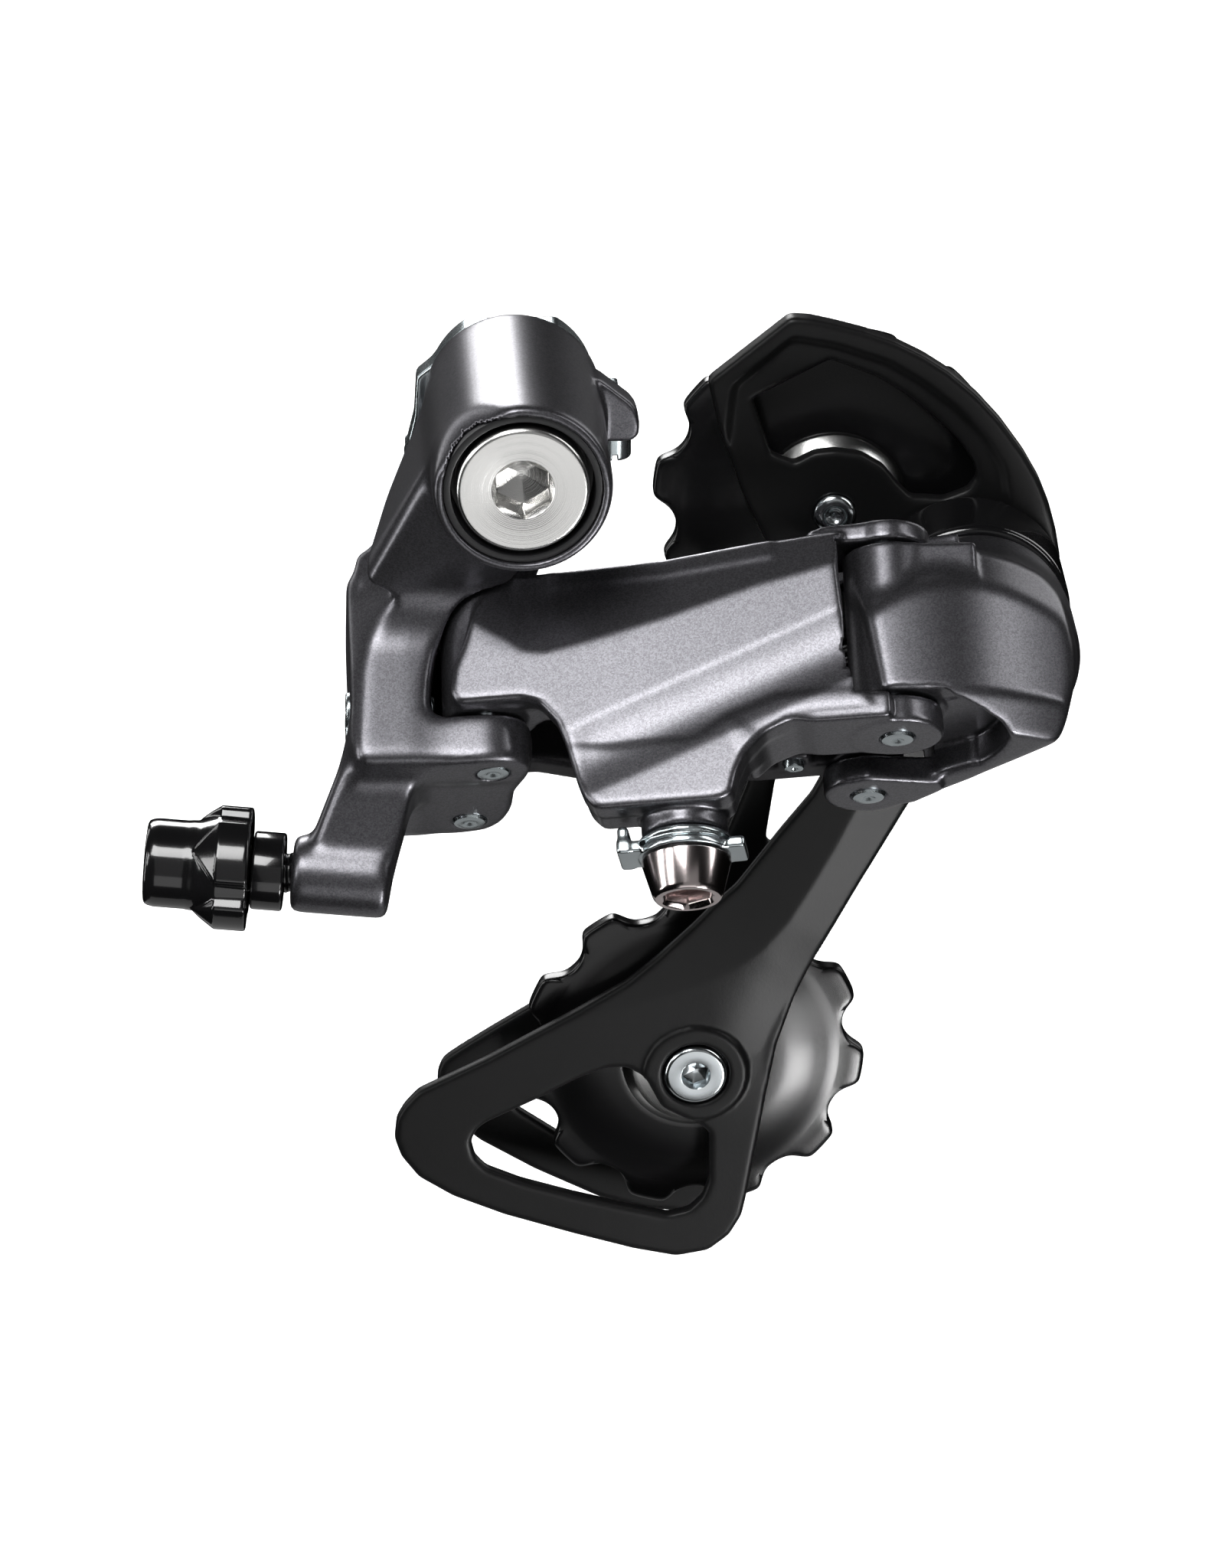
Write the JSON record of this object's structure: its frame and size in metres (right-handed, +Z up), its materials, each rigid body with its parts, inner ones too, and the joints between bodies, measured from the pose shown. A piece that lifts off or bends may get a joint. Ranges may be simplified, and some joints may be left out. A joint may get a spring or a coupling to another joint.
{
  "type": "rear bicycle derailleur",
  "caption": "Rear derailleur that moves a bicycle chain across the rear sprockets: slanted parallelogram, sprung cage, toothed pulleys and a barrel cable adjuster.",
  "frame": {"origin": "mounting bolt axis at the face that seats on the frame's derailleur hanger", "axes": "+X towards the front of the bicycle, +Y inwards towards the wheel along the mounting bolt, +Z up"},
  "size_m": [0.1102, 0.0672, 0.1302],
  "materials": {
    "grey_paint": "satin metallic",
    "link_paint": "satin",
    "cage_black": "satin",
    "turned_steel": "turned",
    "zinc": "zinc plated",
    "clamp_chrome": "polished",
    "cap_steel": "polished",
    "spring_steel": "satin",
    "bush_steel": "ground",
    "black_plastic": "satin",
    "gloss_black": "gloss",
    "pulley_resin": "semi gloss"
  },
  "bodies": {
    "hanger_side": {"mounting_bolt": "turned_steel", "stopper_plate": "zinc"},
    "bracket": {"bracket_body": "grey_paint", "bracket_bush": "black_plastic", "b_axle_spring": "spring_steel", "bracket_pins": "zinc"},
    "b_screw": {"b_tension_screw": "zinc"},
    "high_screw": {"limit_screw_high": "zinc"},
    "low_screw": {"limit_screw_low": "zinc"},
    "adjuster_slider": {"adjuster_sleeve": "gloss_black"},
    "adjuster": {"adjuster_knob": "gloss_black"},
    "outer_link": {"outer_link": "grey_paint", "outer_link_pin": "zinc"},
    "clamp_slider": {"clamp_plate": "zinc"},
    "clamp_screw": {"clamp_bolt": "clamp_chrome"},
    "plate_knuckle": {"plate_body": "grey_paint", "spring_cover": "black_plastic", "plate_body_pin": "zinc", "p_axle_spring": "spring_steel"},
    "inner_link": {"inner_link": "link_paint", "anchor_pin": "zinc", "return_spring": "spring_steel"},
    "cage": {"outer_cage_plate": "cage_black", "p_axle": "zinc", "inner_cage_plate": "cage_black", "cage_stop_pin": "zinc", "guide_bolt": "zinc", "tension_bolt": "zinc", "pulley_bushes": "bush_steel", "dust_caps": "cap_steel"},
    "guide_wheel": {"guide_pulley": "pulley_resin"},
    "tension_wheel": {"tension_pulley": "pulley_resin"}
  },
  "joints": [
    {"name": "b_pivot", "type": "hinge", "parent": "hanger_side", "child": "bracket", "pos_m": [0, -0.016, 0], "axis": [0, 1, 0], "range_deg": [0, 25], "stiffness_Nm_per_rad": 0.3, "springref_deg": -57.3},
    {"name": "b_screw_turn", "type": "hinge", "parent": "bracket", "child": "b_screw", "pos_m": [0.0117, -0.0063, 0], "axis": [0, 0, -1], "range_deg": [-360, 360]},
    {"name": "high_screw_turn", "type": "hinge", "parent": "bracket", "child": "high_screw", "pos_m": [-0.015, -0.02081, -0.03219], "axis": [-1, 0, 0], "range_deg": [-360, 360]},
    {"name": "low_screw_turn", "type": "hinge", "parent": "bracket", "child": "low_screw", "pos_m": [-0.015, -0.01679, -0.03665], "axis": [-1, 0, 0], "range_deg": [-360, 360]},
    {"name": "adjuster_slide", "type": "slide", "parent": "bracket", "child": "adjuster_slider", "axis": [-0.9936, 0.0894, 0.0696], "range_m": [0, 0.003]},
    {"name": "adjuster_turn", "type": "hinge", "parent": "adjuster_slider", "child": "adjuster", "pos_m": [-0.03495, -0.03028, -0.04744], "axis": [-0.9936, 0.0894, 0.0696], "range_deg": [0, 1350]},
    {"name": "link_swing", "type": "hinge", "parent": "bracket", "child": "outer_link", "pos_m": [-0.0036, -0.0193, -0.02639], "axis": [0, 0.7431, 0.6691], "range_deg": [0, 66], "stiffness_Nm_per_rad": 0.25, "springref_deg": -68.75},
    {"name": "clamp_slide", "type": "slide", "parent": "outer_link", "child": "clamp_slider", "axis": [0, -0.7431, -0.6691], "range_m": [0, 0.002]},
    {"name": "clamp_turn", "type": "hinge", "parent": "clamp_slider", "child": "clamp_screw", "pos_m": [0.018, -0.04299, -0.04192], "axis": [0, -0.7431, -0.6691], "range_deg": [0, 900]},
    {"name": "plate_fold", "type": "hinge", "parent": "outer_link", "child": "plate_knuckle", "pos_m": [0.04276, -0.02404, -0.02112], "axis": [0, 0.7431, 0.6691], "range_deg": [-66, 0]},
    {"name": "inner_swing", "type": "hinge", "parent": "bracket", "child": "inner_link", "pos_m": [-0.006, -0.00926, -0.03754], "axis": [0, 0.7431, 0.6691], "range_deg": [0, 66], "deforming": ["return_spring"]},
    {"name": "cage_pivot", "type": "hinge", "parent": "plate_knuckle", "child": "cage", "pos_m": [0.0542, 0, -0.0288], "axis": [0, -1, 0], "range_deg": [0, 110], "stiffness_Nm_per_rad": 0.3, "springref_deg": -68.75},
    {"name": "guide_spin", "type": "hinge", "parent": "cage", "child": "guide_wheel", "pos_m": [0.03842, 0.0101, -0.0195], "axis": [0, 1, 0], "continuous": true},
    {"name": "tension_spin", "type": "hinge", "parent": "cage", "child": "tension_wheel", "pos_m": [0.02227, 0.0101, -0.09407], "axis": [0, 1, 0], "continuous": true}
  ],
  "couplings": [
    {"joint": "plate_fold", "follows": "link_swing", "ratio": -1},
    {"joint": "inner_swing", "follows": "link_swing", "ratio": 1},
    {"joint": "adjuster_turn", "follows": "adjuster_slide", "rad_per_m": 7854},
    {"joint": "clamp_turn", "follows": "clamp_slide", "rad_per_m": 7854}
  ]
}
